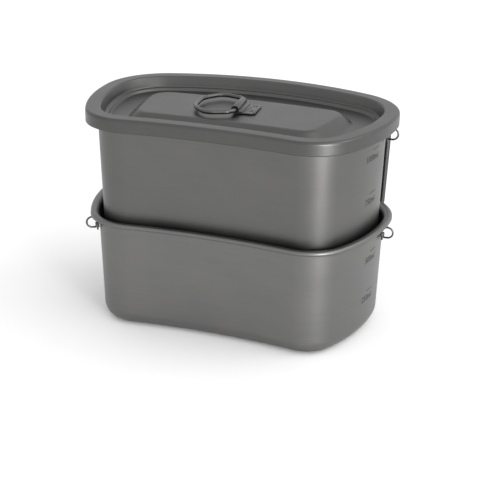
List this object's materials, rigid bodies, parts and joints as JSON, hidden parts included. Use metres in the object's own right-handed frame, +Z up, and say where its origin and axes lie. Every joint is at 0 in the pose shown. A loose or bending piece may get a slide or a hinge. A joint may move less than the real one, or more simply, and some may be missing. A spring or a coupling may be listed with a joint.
{
  "type": "cooking pot set",
  "caption": "Kidney-shaped nesting titanium cooking pots with a pressed lid, wire rings and folding wire handles for hiking.",
  "frame": {"origin": "centre of the lower pot's flat base, on the surface it stands on", "axes": "+Z up; +X along the long side; the hollow front wall faces -Y and the bowed rear wall, with the folding handles, faces +Y"},
  "size_m": [0.1585, 0.106, 0.1132],
  "materials": {
    "pot_sheet": "satin grey titanium",
    "lid_sheet": "satin grey titanium",
    "strap_sheet": "satin grey titanium",
    "lid_ring_wire": "drawn wire",
    "ear_sheet": "satin grey titanium",
    "ring_wire": "drawn wire",
    "bracket_sheet": "satin grey titanium",
    "handle_wire": "drawn wire"
  },
  "bodies": {
    "lower_pot": {"lower_pot": "pot_sheet", "lower_ear_left": "ear_sheet", "lower_ear_right": "ear_sheet"},
    "upper_pot": {"upper_pot": "pot_sheet", "upper_ear_left": "ear_sheet", "upper_ear_right": "ear_sheet", "handle_bracket": "bracket_sheet"},
    "lid": {"lid": "lid_sheet", "lid_strap": "strap_sheet"},
    "lid_ring": {"lid_ring": "lid_ring_wire"},
    "lower_ring_left": {"lower_ring_left": "ring_wire"},
    "lower_ring_right": {"lower_ring_right": "ring_wire"},
    "upper_ring_left": {"upper_ring_left": "ring_wire"},
    "upper_ring_right": {"upper_ring_right": "ring_wire"},
    "handle_left": {"handle_left": "handle_wire"},
    "handle_right": {"handle_right": "handle_wire"}
  },
  "joints": [
    {"name": "upper_pot_lift", "type": "slide", "parent": "lower_pot", "child": "upper_pot", "axis": [0, 0, 1], "range_m": [0, 0.075]},
    {"name": "lid_lift", "type": "slide", "parent": "upper_pot", "child": "lid", "axis": [0, 0, 1], "range_m": [0, 0.035]},
    {"name": "lid_ring_swing", "type": "hinge", "parent": "lid", "child": "lid_ring", "pos_m": [0.0006, 0.0008, 0.11125], "axis": [-0.1045, 0.9945, 0], "range_deg": [0, 165]},
    {"name": "lower_ring_left_swing", "type": "hinge", "parent": "lower_pot", "child": "lower_ring_left", "pos_m": [-0.0632, -0.03112, 0.0518], "axis": [0, 0, 1], "range_deg": [-85, 85]},
    {"name": "lower_ring_right_swing", "type": "hinge", "parent": "lower_pot", "child": "lower_ring_right", "pos_m": [0.07388, 0.01121, 0.051], "axis": [0, 0, 1], "range_deg": [-85, 85]},
    {"name": "upper_ring_left_swing", "type": "hinge", "parent": "upper_pot", "child": "upper_ring_left", "pos_m": [-0.07282, 0.01419, 0.1014], "axis": [0, 0, 1], "range_deg": [-85, 85]},
    {"name": "upper_ring_right_swing", "type": "hinge", "parent": "upper_pot", "child": "upper_ring_right", "pos_m": [0.07282, 0.01419, 0.1014], "axis": [0, 0, 1], "range_deg": [-85, 85]},
    {"name": "handle_left_swing", "type": "hinge", "parent": "upper_pot", "child": "handle_left", "pos_m": [-0.011, 0.0577, 0.097], "axis": [0, 0, -1], "range_deg": [0, 105]},
    {"name": "handle_right_swing", "type": "hinge", "parent": "upper_pot", "child": "handle_right", "pos_m": [0.011, 0.0577, 0.097], "axis": [0, 0, 1], "range_deg": [0, 105]}
  ]
}
